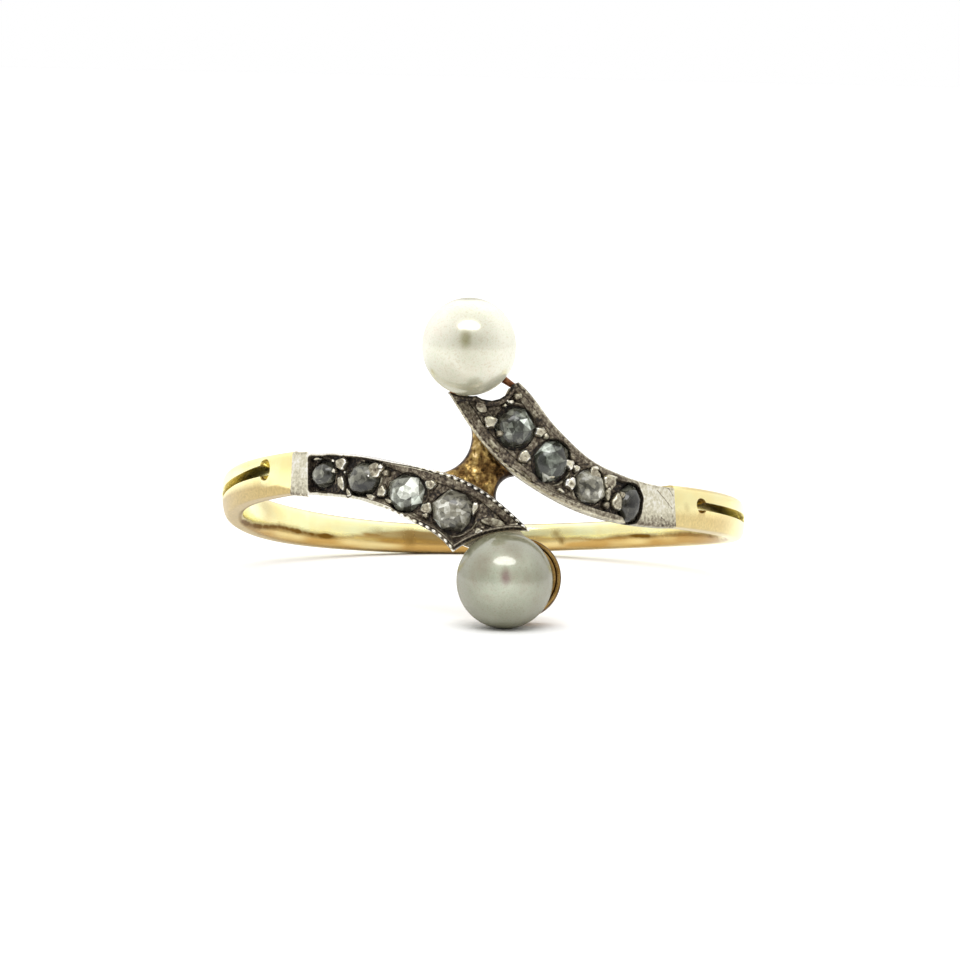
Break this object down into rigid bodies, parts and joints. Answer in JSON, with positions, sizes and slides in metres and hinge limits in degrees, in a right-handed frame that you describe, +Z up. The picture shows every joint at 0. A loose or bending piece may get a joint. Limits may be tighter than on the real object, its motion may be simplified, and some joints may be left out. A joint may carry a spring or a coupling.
{
  "type": "pearl and diamond crossover ring",
  "caption": "Gold finger ring whose two arms sweep past each other, each with a channel of rose-cut diamonds set in platinum and a pearl at its end.",
  "frame": {"origin": "centre of the ring's box, on the surface that it lies on", "axes": "+Z up from the surface, +Y from the jewelled front to the back of the band, +X to the right of a viewer who looks at the front"},
  "size_m": [0.0186, 0.0218, 0.0107],
  "materials": {
    "gold": "polished yellow gold, worn",
    "platinum": "worn platinum, satin, with milgrain rims",
    "pearl": "nacre, soft lustre",
    "diamond": "rose cut, closed back"
  },
  "bodies": {
    "root": {"shank": "gold", "setting_left": "platinum", "setting_right": "platinum", "pearl_top": "pearl", "pearl_bottom": "pearl", "diamond_left_1": "diamond", "diamond_left_2": "diamond", "diamond_left_3": "diamond", "diamond_left_4": "diamond", "diamond_right_1": "diamond", "diamond_right_2": "diamond", "diamond_right_3": "diamond", "diamond_right_4": "diamond"}
  },
  "joints": []
}
